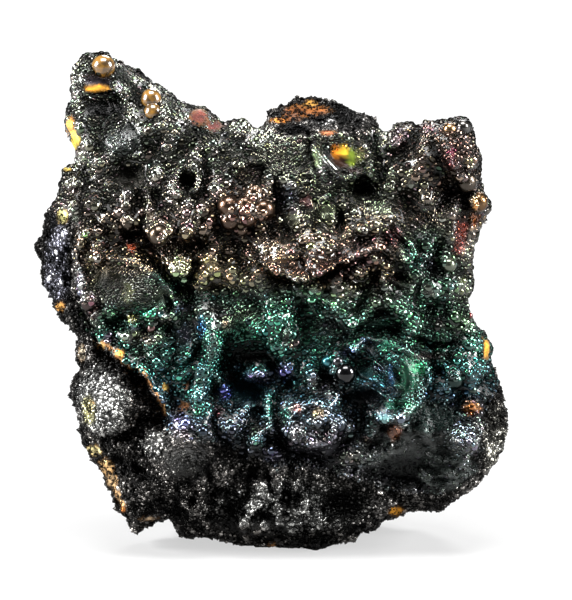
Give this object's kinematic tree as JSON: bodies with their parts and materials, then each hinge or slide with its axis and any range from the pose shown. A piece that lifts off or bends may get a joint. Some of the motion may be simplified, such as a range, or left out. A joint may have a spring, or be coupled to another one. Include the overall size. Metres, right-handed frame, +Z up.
{
  "type": "limonite specimen",
  "caption": "Hand-sized mineral specimen of botryoidal limonite with an iridescent beaded face and a broken rough back, which stands upright on a flat foot.",
  "frame": {"origin": "middle of the specimen's box, on the flat foot", "axes": "+Z up, +X to the right as seen from the iridescent face, which looks along -Y and leans back 10 degrees"},
  "size_m": [0.0752, 0.0476, 0.0786],
  "materials": {
    "botryoidal_limonite": "near-black iron oxide, beaded and glossy on its iridescent face, dull and rough behind"
  },
  "bodies": {
    "root": {"limonite_specimen": "botryoidal_limonite"}
  },
  "joints": []
}
